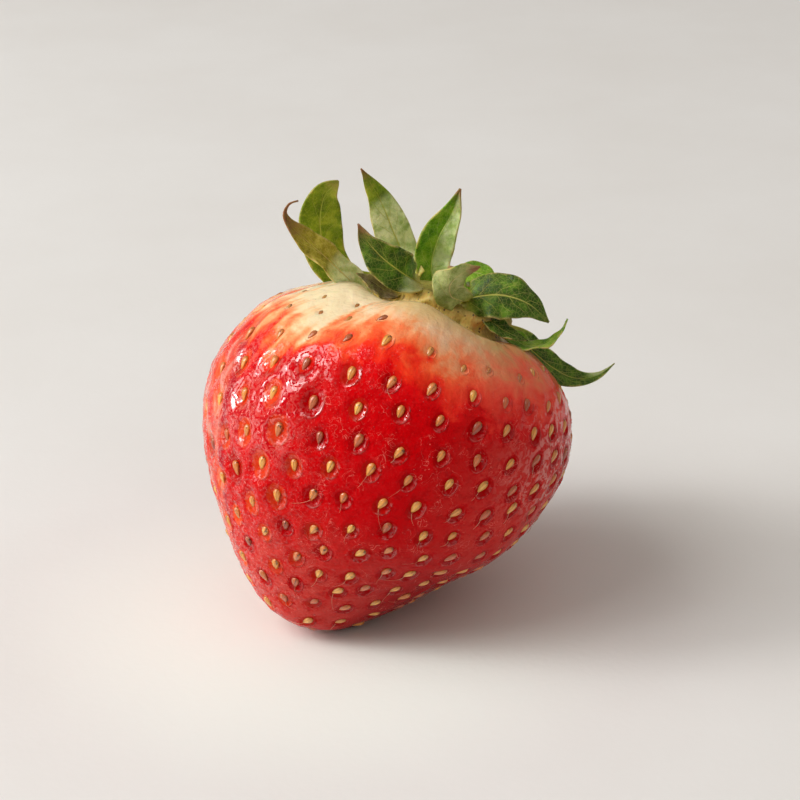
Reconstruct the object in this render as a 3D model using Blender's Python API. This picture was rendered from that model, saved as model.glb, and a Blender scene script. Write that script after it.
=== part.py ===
"""A fresh strawberry with its calyx on, resting on a small flat spot beside its tip.

World axes in metres: +X to the right, +Y to the back, +Z up. The origin is in the flat spot's middle.
The fruit has a frame of its own, with +Z along its axis from the tip to the calyx. It leans right and back.
"""
import math

import bmesh
import bpy
import numpy as np
from mathutils import Matrix, Vector

MM = 0.001
GAP = 0.3                        # between pieces that touch, mm
WELD = 1e-6                      # points nearer than this are one point, m

# How the fruit stands.
LEAN_RIGHT = math.radians(21.6)
LEAN_BACK = math.radians(15.3)
TIP_PLACE = (-4.15, -5.35, -0.15)    # the fruit frame's origin, in mm from the flat spot's middle

# Flesh: height up the axis, then the middle and half width of the ring there along X and along Y, in mm.
FLESH_RINGS = [
    (0.0, -2.8, 0.0, -1.0, 0.0),
    (0.1, -2.8, 1.2, -0.9, 1.2),
    (0.9, -2.8, 3.8, -0.6, 3.6),
    (2.5, -2.8, 6.2, 0.4, 6.0),
    (5.0, -2.6, 8.9, 1.0, 8.8),
    (9.0, -2.3, 12.3, 1.7, 12.4),
    (14.0, -1.3, 15.9, 1.9, 15.8),
    (20.0, -1.0, 17.6, 1.8, 17.4),
    (25.0, -0.5, 17.1, 1.6, 17.1),
    (28.2, -0.3, 15.7, 1.2, 15.6),
    (30.7, 0.3, 13.1, 0.8, 12.9),
    (32.3, 0.2, 10.2, 0.3, 10.2),
    (32.8, 0.2, 8.8, 0.1, 8.8),
    (32.6, 0.1, 7.8, 0.0, 7.8),
    (32.3, 0.0, 6.8, 0.0, 6.8),
    (32.2, 0.0, 3.0, 0.0, 3.0),
    (32.2, 0.0, 0.0, 0.0, 0.0),
]
FLESH_AROUND = 72
FLESH_ALONG = 40
SHOULDER_START = 26.0            # height where the shoulder lobes begin, mm
SHOULDER_TOP = 32.5
SHOULDER_REACH = (7.6, 9.6)      # ring radii between which the lobes fade in, clear of the calyx's hollow, mm
# Shoulder lobes and the groove between them: direction around the axis and spread in degrees, lift in mm.
SHOULDERS = [(-95, 40, 0.8), (-137, 15, -0.8), (175, 34, 0.2), (-5, 34, -0.5)]
# The fruit settled on its back right flank: each mm behind the middle low down lies this much further right.
BACK_BULGE = 0.5
BULGE_SOFT = 3.0                 # how far from the middle the bulge takes to set in, mm
BULGE_FADES = (5.0, 16.0)        # heights between which the bulge fades out, mm

# Calyx disc: turned outline from its underside to the top, radius and height above the flesh's hollow, mm.
HOLLOW_HEIGHT = 32.2
CALYX_OUTLINE = [(0.0, GAP), (5.8, GAP), (6.4, 0.7), (6.5, 1.5), (6.0, 2.3), (5.0, 2.8), (0.0, 3.1)]
CALYX_AROUND = 40
STEM_RADIUS = 1.1
STEM_HEIGHT = 2.0
STEM_TAPER = 0.85                # top radius as a share of the bottom one
STEM_EDGE = 0.25                 # width of the bevel at both ends, mm
STEM_AROUND = 20

SEPAL_THICKNESS = 0.4
SEPAL_STEPS = 14
SEPAL_ACROSS = 4
BASE_WIDTH = 0.5                 # share of a leaf's width that it starts with
TIP_WIDTH = 0.1                  # share of it that is left at the tip
TIP_TAPER = 1.2                  # above 1 the tip is drawn out finer
LEAF_MIDDLE_HEIGHT = 33.4        # height of the point that the leaves' paths are measured from, mm

# Each leaf's path from its base, in mm right, back and up from the leaves' middle. "looks" is where its upper
# side faces at the base and at the tip, and "cup" how far its edges rise for each unit of half width.
SEPALS = {
    "sepal_left_curled": dict(
        path=[(-6.3, 0.1, 3.6), (-8.8, -0.4, 5.0), (-11.0, -0.8, 6.5), (-12.9, -1.2, 8.0),
              (-14.1, -1.4, 9.8), (-13.5, -1.4, 11.6)],
        width=3.2, widest=0.4, looks=[(0.2, -0.7, 0.7), (0.7, -0.7, 0.2)], cup=0.2),
    "sepal_left_upright": dict(
        path=[(-6.0, 2.8, 2.6), (-8.5, 3.3, 4.1), (-10.8, 3.6, 5.7), (-11.7, 3.6, 8.2),
              (-11.3, 3.4, 10.5), (-9.7, 3.2, 12.1)],
        width=4.3, widest=0.62, looks=[(0.3, -0.8, 0.4), (0.2, -0.9, 0.2)], cup=0.15),
    "sepal_back_tall": dict(
        path=[(-2.9, 5.2, 2.1), (-3.7, 6.4, 3.2), (-4.7, 6.8, 5.5), (-6.0, 6.8, 8.8), (-7.8, 6.4, 12.1)],
        width=3.5, widest=0.4, looks=[(0.2, -0.9, 0.2), (0.2, -0.9, 0.3)], cup=-0.2),
    "sepal_front_left": dict(
        path=[(-2.8, -3.5, 4.6), (-4.2, -4.4, 5.9), (-5.8, -5.0, 7.5), (-7.1, -5.2, 9.2), (-7.9, -5.2, 10.8)],
        width=3.6, widest=0.4, looks=[(-0.3, -0.6, 0.7), (-0.4, -0.8, 0.4)], cup=0.2),
    "sepal_upright_folded": dict(
        path=[(-0.1, 5.6, 1.6), (-0.7, 5.8, 3.0), (-0.4, 5.4, 5.2), (1.0, 5.0, 8.3), (1.7, 4.6, 10.7)],
        width=3.6, widest=0.45, looks=[(0.2, -0.9, 0.3), (-0.2, -0.9, 0.3)], cup=0.45),
    "sepal_front_curled": dict(
        path=[(0.1, -6.4, 3.0), (-0.3, -7.1, 5.2), (0.2, -7.2, 6.8), (1.3, -6.8, 7.4), (2.2, -6.2, 7.0)],
        width=2.6, widest=0.4, looks=[(-0.2, 0.9, 0.2), (0.1, 0.2, -0.9)], cup=0.2),
    "sepal_back_right": dict(
        path=[(1.9, 5.2, 0.1), (2.2, 5.2, 1.5), (3.2, 4.8, 2.0), (4.8, 4.2, 1.5), (6.0, 3.6, 0.7)],
        width=2.6, widest=0.45, looks=[(-0.3, -0.6, 0.6), (0.2, -0.3, 0.9)], cup=0.1),
    "sepal_right_broad": dict(
        path=[(2.4, -4.6, 3.2), (3.6, -5.2, 3.7), (5.5, -5.6, 3.9), (7.9, -5.6, 3.0), (9.8, -5.4, 1.1)],
        width=4.2, widest=0.42, looks=[(0.0, -0.8, 0.6), (0.3, -0.8, 0.5)], cup=-0.15),
    "sepal_right_small": dict(
        path=[(4.5, -5.1, 1.0), (5.7, -5.6, 0.3), (6.9, -5.8, -0.2), (7.9, -5.8, -0.6)],
        width=1.7, widest=0.4, looks=[(0.2, -0.5, 0.8), (0.3, -0.6, 0.7)], cup=0.1),
    "sepal_right_arched": dict(
        path=[(5.8, -3.7, -0.4), (7.7, -4.8, -1.5), (9.8, -5.0, -1.2), (11.0, -5.0, -0.1), (11.6, -4.8, 1.2)],
        width=2.2, widest=0.4, looks=[(0.2, 0.0, 0.9), (-0.7, 0.0, 0.7)], cup=0.1),
    "sepal_right_long": dict(
        path=[(6.9, -0.9, -1.5), (8.5, -2.0, -2.3), (10.7, -2.2, -3.7), (12.9, -1.8, -5.5),
              (14.9, -1.8, -5.7), (16.5, -1.8, -4.7)],
        width=3.0, widest=0.45, looks=[(0.3, -0.5, 0.8), (0.0, -0.6, 0.8)], cup=0.1),
    "sepal_left_small": dict(
        path=[(-5.2, -3.5, 3.4), (-6.6, -4.1, 4.6), (-8.1, -4.3, 5.6)],
        width=1.8, widest=0.4, looks=[(-0.3, -0.5, 0.8), (-0.3, -0.6, 0.7)], cup=0.1),
    "sepal_back_small": dict(
        path=[(-4.7, 5.2, 0.7), (-5.8, 5.6, 1.9), (-7.2, 5.6, 3.1)],
        width=1.8, widest=0.45, looks=[(0.2, -0.8, 0.5), (0.2, -0.8, 0.4)], cup=0.1),
}

# Colour and roughness of each material.
MATERIALS = {
    "flesh_red": ((0.62, 0.02, 0.02), 0.32),
    "calyx_green": ((0.55, 0.50, 0.16), 0.55),
    "stem_green": ((0.35, 0.38, 0.12), 0.6),
    "sepal_green": ((0.08, 0.16, 0.03), 0.45),
}


def clear_scene():
    for item in list(bpy.data.objects):
        bpy.data.objects.remove(item, do_unlink=True)


def make_material(name):
    color, roughness = MATERIALS[name]
    material = bpy.data.materials.new(name)
    material.use_nodes = True
    shader = material.node_tree.nodes["Principled BSDF"]
    shader.inputs["Base Color"].default_value = (*color, 1.0)
    shader.inputs["Roughness"].default_value = roughness
    return material


def add_object(name, mesh_maker, material_name):
    """Turn a bmesh into a smooth-shaded object with its own material."""
    mesh = bpy.data.meshes.new(name)
    mesh_maker.to_mesh(mesh)
    mesh_maker.free()
    mesh.shade_smooth()
    mesh.materials.append(make_material(material_name))
    item = bpy.data.objects.new(name, mesh)
    bpy.context.scene.collection.objects.link(item)
    return item


def fruit_matrix():
    """The fruit's own frame in the world, in metres."""
    turn = Matrix.Rotation(LEAN_RIGHT, 4, "Y") @ Matrix.Rotation(-LEAN_BACK, 4, "X")
    return Matrix.Translation(Vector(TIP_PLACE) * MM) @ turn


def curve_through(points, spots):
    """Points of a smooth curve through the given ones, at each share (0 to 1) of its chord length."""
    rows = np.array(points, float)
    lengths = np.linalg.norm(np.diff(rows, axis=0), axis=1)
    marks = np.concatenate([[0.0], np.cumsum(lengths)]) / lengths.sum()
    slopes = np.gradient(rows, marks, axis=0)
    found = []
    for spot in spots:
        index = min(int(np.searchsorted(marks, spot, side="right")) - 1, len(lengths) - 1)
        span = marks[index + 1] - marks[index]
        t = (spot - marks[index]) / span
        start, end = rows[index], rows[index + 1]
        leave, arrive = slopes[index] * span, slopes[index + 1] * span
        ease = t * t * (3 - 2 * t)
        found.append(start + (end - start) * ease + leave * t * (1 - t) ** 2 - arrive * t * t * (1 - t))
    return np.array(found)


def ramp(value, low, high):
    """0 below low, 1 above high, and smooth between."""
    t = min(max((value - low) / (high - low), 0.0), 1.0)
    return t * t * (3 - 2 * t)


def shoulder_lift(direction, height, reach):
    """How far the shoulder is raised, in mm: nothing low down, nor in the hollow under the calyx."""
    share = ramp(height, SHOULDER_START, SHOULDER_TOP) * ramp(reach, *SHOULDER_REACH)
    total = 0.0
    for middle, spread, lift in SHOULDERS:
        away = (direction - middle + 180) % 360 - 180
        total += lift * math.exp(-(away / spread) ** 2)
    return share * total


def flesh_point(direction, ring):
    """A point of the flesh in the fruit's frame, in mm. direction is in degrees, from +X towards +Y."""
    height, middle_x, half_x, middle_y, half_y = ring
    angle = math.radians(direction)
    x = middle_x + half_x * math.cos(angle)
    y = middle_y + half_y * math.sin(angle)
    behind = (y + math.hypot(y, BULGE_SOFT)) / 2
    x += BACK_BULGE * behind * (1 - ramp(height, *BULGE_FADES))
    return Vector((x, y, height + shoulder_lift(direction, height, (half_x + half_y) / 2)))


def make_flesh():
    shape = bmesh.new()
    bmesh.ops.create_uvsphere(shape, u_segments=FLESH_AROUND, v_segments=FLESH_ALONG, radius=1.0)
    rings = curve_through(FLESH_RINGS, [step / FLESH_ALONG for step in range(FLESH_ALONG + 1)])
    for vertex in shape.verts:
        step = round(math.acos(max(-1.0, min(1.0, -vertex.co.z))) / math.pi * FLESH_ALONG)
        direction = math.degrees(math.atan2(vertex.co.y, vertex.co.x))
        vertex.co = flesh_point(direction, rings[step]) * MM
    bmesh.ops.transform(shape, matrix=fruit_matrix(), verts=shape.verts)
    faces_and_edges = shape.verts[:] + shape.edges[:] + shape.faces[:]
    cut = bmesh.ops.bisect_plane(
        shape, geom=faces_and_edges, dist=WELD, plane_co=(0, 0, 0), plane_no=(0, 0, -1), clear_outer=True)
    rim = [part for part in cut["geom_cut"] if isinstance(part, bmesh.types.BMEdge)]
    bmesh.ops.contextual_create(shape, geom=rim)
    bmesh.ops.recalc_face_normals(shape, faces=shape.faces)
    return add_object("flesh", shape, "flesh_red")


def make_calyx_disc():
    shape = bmesh.new()
    outline = [(radius * MM, 0, (HOLLOW_HEIGHT + height) * MM) for radius, height in CALYX_OUTLINE]
    points = [shape.verts.new(place) for place in outline]
    edges = [shape.edges.new(pair) for pair in zip(points, points[1:])]
    bmesh.ops.spin(
        shape, geom=points + edges, axis=(0, 0, 1), cent=(0, 0, 0), angle=math.tau, steps=CALYX_AROUND,
        use_merge=True)
    bmesh.ops.remove_doubles(shape, verts=shape.verts, dist=WELD)
    bmesh.ops.transform(shape, matrix=fruit_matrix(), verts=shape.verts)
    bmesh.ops.recalc_face_normals(shape, faces=shape.faces)
    return add_object("calyx_disc", shape, "calyx_green")


def make_stem_stub():
    """The cut end of the stalk, standing on the disc."""
    shape = bmesh.new()
    bmesh.ops.create_cone(
        shape, cap_ends=True, segments=STEM_AROUND, radius1=STEM_RADIUS * MM,
        radius2=STEM_TAPER * STEM_RADIUS * MM, depth=STEM_HEIGHT * MM)
    rims = [edge for edge in shape.edges if abs(edge.verts[0].co.z - edge.verts[1].co.z) < WELD]
    bmesh.ops.bevel(
        shape, geom=rims, offset=STEM_EDGE * MM, segments=2, profile=0.5, affect="EDGES", material=-1)
    base = HOLLOW_HEIGHT + CALYX_OUTLINE[-1][1] + GAP
    lift = Matrix.Translation((0, 0, (base + STEM_HEIGHT / 2) * MM))
    bmesh.ops.transform(shape, matrix=fruit_matrix() @ lift, verts=shape.verts)
    bmesh.ops.recalc_face_normals(shape, faces=shape.faces)
    return add_object("stem_stub", shape, "stem_green")


def blade_width(share, widest):
    """Half width of a leaf's blade as a share of its greatest, at a share of its length."""
    if share < widest:
        return BASE_WIDTH + (1 - BASE_WIDTH) * math.sin(math.pi / 2 * share / widest)
    past = (share - widest) / (1 - widest)
    return TIP_WIDTH + (1 - TIP_WIDTH) * math.cos(math.pi / 2 * past) ** TIP_TAPER


def blade_point(sepal, place, along, share, across):
    """A point of a leaf's middle surface, in mm from the leaves' middle."""
    forward = Vector(along).normalized()
    looks = Vector(sepal["looks"][0]).lerp(Vector(sepal["looks"][1]), share)
    up = (looks - looks.project(forward)).normalized()
    side = forward.cross(up)
    half = sepal["width"] / 2 * blade_width(share, sepal["widest"])
    return Vector(place) + side * half * across + up * half * sepal["cup"] * across * across


def make_sepal(name, sepal):
    shape = bmesh.new()
    bmesh.ops.create_grid(shape, x_segments=SEPAL_STEPS, y_segments=SEPAL_ACROSS, size=1.0)
    shares = [step / SEPAL_STEPS for step in range(SEPAL_STEPS + 1)]
    places = curve_through(sepal["path"], shares)
    alongs = np.gradient(places, axis=0)
    leaf_middle = fruit_matrix() @ Vector((0, 0, LEAF_MIDDLE_HEIGHT * MM))
    for vertex in shape.verts:
        step = round((vertex.co.x + 1) / 2 * SEPAL_STEPS)
        spot = blade_point(sepal, places[step], alongs[step], shares[step], vertex.co.y)
        vertex.co = leaf_middle + spot * MM
    item = add_object(name, shape, "sepal_green")
    wall = item.modifiers.new("wall", "SOLIDIFY")
    wall.thickness = SEPAL_THICKNESS * MM
    wall.offset = 0.0
    return item


clear_scene()
make_flesh()
make_calyx_disc()
make_stem_stub()
for sepal_name, sepal_shape in SEPALS.items():
    make_sepal(sepal_name, sepal_shape)
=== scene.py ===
import math
import random

import bmesh
import bpy
import numpy as np
from mathutils import Euler, Matrix, Vector, noise
from mathutils.bvhtree import BVHTree


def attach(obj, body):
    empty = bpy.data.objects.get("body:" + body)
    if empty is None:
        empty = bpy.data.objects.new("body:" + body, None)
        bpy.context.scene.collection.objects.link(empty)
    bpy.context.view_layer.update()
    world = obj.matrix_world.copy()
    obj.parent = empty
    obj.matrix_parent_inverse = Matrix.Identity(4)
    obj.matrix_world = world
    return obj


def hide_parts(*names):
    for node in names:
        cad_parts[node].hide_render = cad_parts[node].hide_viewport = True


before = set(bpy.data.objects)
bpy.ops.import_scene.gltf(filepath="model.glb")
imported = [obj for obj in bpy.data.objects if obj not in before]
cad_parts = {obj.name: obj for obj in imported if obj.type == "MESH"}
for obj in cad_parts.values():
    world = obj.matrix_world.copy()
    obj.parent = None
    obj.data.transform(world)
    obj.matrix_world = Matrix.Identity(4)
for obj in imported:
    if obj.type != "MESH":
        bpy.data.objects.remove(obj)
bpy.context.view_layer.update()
mm = 0.001
floorGap = 0.02 * mm  # nothing comes closer to the floor
print("frame loaded")


# how the fruit stands: lean in degrees, its axis's foot in mm from the spot it rests on
stand = dict(leanRight=21.6, leanBack=15.3, foot=(-4.15, -5.35, -0.15))


def fruitTurn():
    return Euler((math.radians(-stand["leanBack"]), math.radians(stand["leanRight"]), 0))


def fruitPlace():
    return Matrix.Translation(Vector(stand["foot"]) * mm) @ fruitTurn().to_matrix().to_4x4()


def onAxis(height):
    return fruitPlace() @ Vector((0, 0, height * mm))


def standUp(shape):
    # from mm in the fruit's own frame to its place
    bmesh.ops.transform(shape, matrix=fruitPlace() @ Matrix.Scale(mm, 4), verts=shape.verts)


def tone(red, green, blue):
    # an 8-bit colour as linear light
    parts = [value / 255 for value in (red, green, blue)]
    return (*[(part / 12.92 if part < 0.04045 else ((part + 0.055) / 1.055) ** 2.4) for part in parts], 1.0)


def ramp(value, low, high):
    t = np.clip((value - low) / (high - low), 0.0, 1.0)
    return t * t * (3 - 2 * t)


def addObject(name, data):
    thing = bpy.data.objects.new(name, data)
    bpy.context.scene.collection.objects.link(thing)
    return thing


def addMesh(name, shape, *materials):
    mesh = bpy.data.meshes.new(name)
    shape.to_mesh(mesh)
    shape.free()
    for material in materials:
        mesh.materials.append(material)
    return addObject(name, mesh)


def addPiece(name, shape, materials, slotName, *nodes):
    piece = addMesh(name, shape, *materials)
    piece.data.shade_smooth()
    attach(piece, "root")
    if nodes:
        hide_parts(*nodes)
    return piece


def curveThrough(points, shares):
    # a smooth curve through the points, read at shares of its chord length
    rows = np.array(points, float)
    lengths = np.linalg.norm(np.diff(rows, axis=0), axis=1)
    marks = np.concatenate([[0.0], np.cumsum(lengths)]) / lengths.sum()
    slopes = np.gradient(rows, marks, axis=0)
    found = []
    for share in shares:
        index = min(int(np.searchsorted(marks, share, side="right")) - 1, len(lengths) - 1)
        span = marks[index + 1] - marks[index]
        t = (share - marks[index]) / span
        ease = t * t * (3 - 2 * t)
        bend = slopes[index] * span * t * (1 - t) ** 2 - slopes[index + 1] * span * t * t * (1 - t)
        found.append(rows[index] + (rows[index + 1] - rows[index]) * ease + bend)
    return np.array(found)


# a socket that takes part in sums
class Wire:
    def __init__(self, graph, socket):
        self.graph = graph
        self.socket = socket

    def maths(self, operation, *values):
        return self.graph.make("Math", {"operation": operation}, dict(enumerate(values)))

    def __add__(self, other):
        return self.maths("ADD", self, other)

    __radd__ = __add__

    def __sub__(self, other):
        return self.maths("SUBTRACT", self, other)

    def __rsub__(self, other):
        return self.maths("SUBTRACT", other, self)

    def __mul__(self, other):
        return self.maths("MULTIPLY", self, other)

    __rmul__ = __mul__

    def __truediv__(self, other):
        return self.maths("DIVIDE", self, other)

    def __pow__(self, other):
        return self.maths("POWER", self, other)

    def larger(self, other):
        return self.maths("MAXIMUM", self, other)

    def wave(self):
        return self.maths("SINE", self)

    def size(self):
        return self.maths("ABSOLUTE", self)

    def fraction(self):
        return self.maths("FRACT", self)

    def exponent(self):
        return self.maths("EXPONENT", self)

    def hill(self, middle, width):
        # 1 at the middle, fading to nothing over the width
        away = (self - middle) / width
        return (away * away * -1).exponent()

    def between(self, low, high):
        # 0 below low and 1 above high, or the other way round where low is the larger
        ends = {"Value": self, "From Min": low, "From Max": high}
        return self.graph.make("MapRange", {"interpolation_type": "SMOOTHSTEP"}, ends)


class Graph:
    def __init__(self, name, **finish):
        self.material = bpy.data.materials.new(name)
        self.material.use_nodes = True
        self.nodes = self.material.node_tree.nodes
        self.links = self.material.node_tree.links
        self.shader = self.nodes["Principled BSDF"]
        for socket, value in finish.items():
            self.shader.inputs[socket.replace("_", " ")].default_value = value

    def make(self, kind, settings=None, inputs=None, out=0):
        node = self.nodes.new("ShaderNode" + kind)
        for name, value in (settings or {}).items():
            if name == "stops":
                self.setStops(node.color_ramp.elements, value)
            else:
                setattr(node, name, value)
        for name, value in (inputs or {}).items():
            if isinstance(value, Wire):
                self.links.new(value.socket, node.inputs[name])
            else:
                node.inputs[name].default_value = value
        return Wire(self, node.outputs[out])

    def setStops(self, elements, stops):
        while len(elements) < len(stops):
            elements.new(1.0)
        for element, (place, color) in zip(elements, stops):
            element.position = place
            element.color = color

    def ramp(self, value, *stops):
        shades = [(place, tone(*shade)) for place, shade in stops]
        return self.make("ValToRGB", {"stops": shades}, {"Fac": value})

    def mix(self, share, first, second):
        # each side is a wire or an 8-bit colour
        sides = [side if isinstance(side, Wire) else tone(*side) for side in (first, second)]
        return self.make("Mix", {"data_type": "RGBA"}, {0: share, 6: sides[0], 7: sides[1]}, 2)

    def attribute(self, name):
        return self.make("Attribute", {"attribute_name": name}, out="Fac")

    def objectPlace(self):
        # the place on the piece in mm
        spot = self.make("TexCoord", out="Object")
        return self.make("VectorMath", {"operation": "SCALE"}, {0: spot, "Scale": 1 / mm})

    def fruitPlace(self):
        # the place in mm in the fruit's own frame, with Z along its axis
        turn = {
            "Vector": self.make("TexCoord", out="Object"), "Location": Vector(stand["foot"]) * mm,
            "Rotation": fruitTurn(), "Scale": (mm, mm, mm)}
        return self.make("Mapping", {"vector_type": "TEXTURE"}, turn)

    def aroundAxis(self, place):
        # the place's parts, then its distance from the axis
        x, y, height = self.split(place, "XYZ")
        return x, y, height, (x * x + y * y) ** 0.5 + 0.01

    def leafPlace(self):
        return self.split(self.make("UVMap", {"uv_map": "leaf"}), "XY")

    def split(self, vector, axes):
        return [self.make("SeparateXYZ", inputs={"Vector": vector}, out=axis) for axis in axes]

    def join(self, x, y, z):
        return self.make("CombineXYZ", inputs={"X": x, "Y": y, "Z": z})

    def noise(self, vector, scale, detail=2.0, roughness=0.5, distortion=0.0):
        values = {"Vector": vector, "Scale": scale, "Detail": detail, "Roughness": roughness}
        return self.make("TexNoise", inputs={**values, "Distortion": distortion})

    def cells(self, vector, scale, feature="F1"):
        return self.make("TexVoronoi", {"feature": feature}, {"Vector": vector, "Scale": scale}, "Distance")

    def bump(self, height, distance, under=None):
        values = {"Height": height, "Distance": distance * mm}
        if under:
            values["Normal"] = under
        return self.make("Bump", inputs=values, out="Normal")

    def finish(self, **values):
        for socket, value in values.items():
            self.links.new(value.socket, self.shader.inputs[socket.replace("_", " ")])
        return self.material


# where the skin ripens: the height up the axis at which it turns to cream, in mm,
# with lobes of (direction in degrees, spread in degrees, lift in mm)
ripening = dict(
    edge=32.8,
    lobes=[(-156, 18, -2.4), (-112, 19, 2.0), (-34, 20, 2.2), (55, 35, -2.5), (110, 22, 1.0)],
    depth=8.5)  # from cream down to full red


def creamEdge(x, y):
    reach = math.hypot(x, y)
    total = ripening["edge"]
    for direction, spread, lift in ripening["lobes"]:
        turn = math.radians(direction)
        facing = (x * math.cos(turn) + y * math.sin(turn)) / reach - 1
        total += lift * math.exp(facing / math.radians(spread) ** 2)
    return total


# achenes, in mm: their points turn to the fruit's tip, and their places start from a spiral of golden angles.
# A table gives what changes with the height up the axis
achene = dict(
    length=1.36, width=0.8, height=0.56, slim=(0.36, 0.1), point=0.1, dip=0.06, sunk=(0.7, 0.02),
    around=8, along=6,
    turn=-137.508, start=0.13, end=0.93, packing=0.87, narrowest=1.2,  # the spiral
    wander=0.22, slant=9,  # its unevenness, in mm and degrees
    tip=(-7.6, -7.5, 1.0), top=31.6,
    spacing=[(0.0, 2.85), (6.0, 3.0), (13.0, 3.5), (20.0, 4.0), (26.0, 3.7), (30.0, 3.0), (33.0, 2.5)],
    pushes=14, push=0.3, reach=0.98,  # how neighbours part
    sizes=(0.86, 1.06), sinks=(0.75, 1.2),  # from least to most
    young=6.0, youngSize=0.5, youngDepth=0.6)  # smaller and less sunk within this many mm of the cream
pit = dict(
    long=1.0, wide=0.78, aside=0.1, flat=0.74,
    lee=(0.88, 0.47), marks=4.0,  # the side away from the light, across and along; how far marks reach
    grow=[(0.0, 1.0), (12.0, 1.04), (20.0, 1.08), (26.0, 1.1), (30.0, 0.9)],
    depth=[(0.0, 0.08), (8.0, 0.1), (18.0, 0.2), (25.0, 0.22), (30.0, 0.08)],
    floor=0.45, wall=1.15, rim=0.07, rimAt=1.25, rimWidth=0.22, puff=(1.0, 2.0))


def stepBetween(table, value):
    return float(np.interp(value, [row[0] for row in table], [row[1] for row in table]))


def smoothTree(node, levels):
    # the node's facets merged and rounded, to shoot rays at
    shape = bmesh.new()
    shape.from_mesh(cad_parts[node].data)
    bmesh.ops.remove_doubles(shape, verts=shape.verts, dist=1e-6)
    bmesh.ops.join_triangles(shape, faces=shape.faces, angle_face_threshold=0.6, angle_shape_threshold=0.8)
    piece = addMesh("rounded", shape)
    rounding = piece.modifiers.new("rounding", "SUBSURF")
    rounding.levels = rounding.render_levels = levels
    tree = BVHTree.FromObject(piece, bpy.context.evaluated_depsgraph_get())
    bpy.data.objects.remove(piece, do_unlink=True)
    return tree


shoulder = dict(low=(26, 31.5), high=(36, 37))  # a swelling's lower and upper ends, as heights up the axis
skin = dict(
    cells=128, middle=18.0,
    lumps=[(9.0, 0.22, 0), (4.0, 0.08, 0), (1.2, 0.08, 1.2)],  # unevenness: size, height and swelling, mm
    ridges=[dict(direction=-137, spread=9, lift=0.45, low=(6, 12), high=(24, 30)),
            dict(direction=-114, spread=24, lift=1.0, **shoulder),
            dict(direction=-32, spread=26, lift=0.6, **shoulder),
            dict(direction=-168, spread=24, lift=0.15, **shoulder),
            dict(direction=80, spread=50, lift=0.5, **shoulder)],
    puff=0.1,  # how far the flesh stands out between the pits
    swollen=dict(direction=-152, spread=34, low=(8, 13), high=(25, 29), more=1.8))


def spreadOut(tree, back, spots):
    # neighbours push each other apart until they lie evenly
    for turn in range(achene["pushes"]):
        heights = [(back @ Vector(spot)).z / mm for spot in spots]
        room = np.array([stepBetween(achene["spacing"], height) for height in heights]) * achene["reach"] * mm
        apart = spots[:, None] - spots[None]
        distance = np.linalg.norm(apart, axis=2) + 1e-9
        push = np.clip(room[:, None] - distance, 0, None) * (distance > 1e-8)
        spots = spots + achene["push"] * (apart / distance[..., None] * push[..., None]).sum(1)
        spots = np.array([tree.find_nearest(Vector(spot))[0] for spot in spots])
    return spots


def inFruit(points):
    place = fruitPlace().inverted()
    return (points @ np.array(place.to_3x3()).T + np.array(place.translation)) / mm


def region(spots, area):
    # 1 in the middle of an area of the fruit, fading round it and towards its low and high ends
    azimuth = np.degrees(np.arctan2(spots[:, 1], spots[:, 0]))
    away = (azimuth - area["direction"] + 180) % 360 - 180
    band = ramp(spots[:, 2], *area["low"]) * (1 - ramp(spots[:, 2], *area["high"]))
    return band * np.exp(-(away / area["spread"]) ** 2)


def skinLift(points):
    # how far the soft unevenness and the ridges lift the skin off the rounded form, mm
    spots = inFruit(points)
    lift = np.zeros(len(points))
    for size, height, more in skin["lumps"]:
        rise = height * np.array([noise.noise(Vector(row) / size) for row in spots])
        lift += rise * (1 + more * region(spots, skin["swollen"]))
    for ridge in skin["ridges"]:
        lift += ridge["lift"] * region(spots, ridge)
    return lift


def placeAchenes(tree):
    # each gets its place, the way out of the skin and the way to the fruit's tip, a size and a shade, how
    # young it looks, and how deep and how wide its pit is
    random.seed(11)
    back = fruitPlace().inverted()
    middle = onAxis(skin["middle"])
    tip = Vector(achene["tip"]) * mm
    turn = (tip - middle).to_track_quat("-Z", "Y")
    spots = []
    polar = achene["start"]
    while polar < math.pi * achene["end"]:
        azimuth = math.radians(achene["turn"] * len(spots))
        wide = math.sin(polar)
        way = Vector((wide * math.cos(azimuth), wide * math.sin(azimuth), -math.cos(polar)))
        spot, normal, face, distance = tree.ray_cast(middle, turn @ way)
        local = (back @ spot) / mm
        reach = math.hypot(local.x, local.y)
        spots.append(spot)
        gap = stepBetween(achene["spacing"], local.z)
        around = math.tau * max(reach, achene["narrowest"])
        polar += achene["packing"] * gap ** 2 / (around * distance / mm)
    found = []
    for spot in spreadOut(tree, back, np.array(spots)):
        wander = Vector([random.gauss(0, achene["wander"]) for axis in range(3)]) * mm
        spot, normal, face, distance = tree.find_nearest(Vector(spot) + wander)
        local = (back @ spot) / mm
        spot += normal * skinLift(np.array([spot]))[0] * mm
        down = tip - spot
        down = (down - down.project(normal)).normalized()
        down.rotate(Matrix.Rotation(math.radians(random.gauss(0, achene["slant"])), 3, normal))
        size = random.uniform(*achene["sizes"])
        shade = random.random()
        sunk = random.uniform(*achene["sinks"])
        below = creamEdge(local.x, local.y) - local.z
        young = 1 - float(ramp(below, 0.0, achene["young"]))
        # pits are wider and deeper where the flesh is swollen
        swell = pit["flat"] + (1 - pit["flat"]) * float(region(np.array([local]), skin["swollen"])[0])
        size *= 1 - achene["youngSize"] * young
        depth = stepBetween(pit["depth"], local.z) * sunk * (1 - achene["youngDepth"] * young) * swell
        if local.z < achene["top"]:
            found.append(dict(
                spot=spot, out=normal, down=down, size=size, shade=shade, young=young, depth=depth,
                pit=stepBetween(pit["grow"], local.z) * size * swell))
    return found


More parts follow.
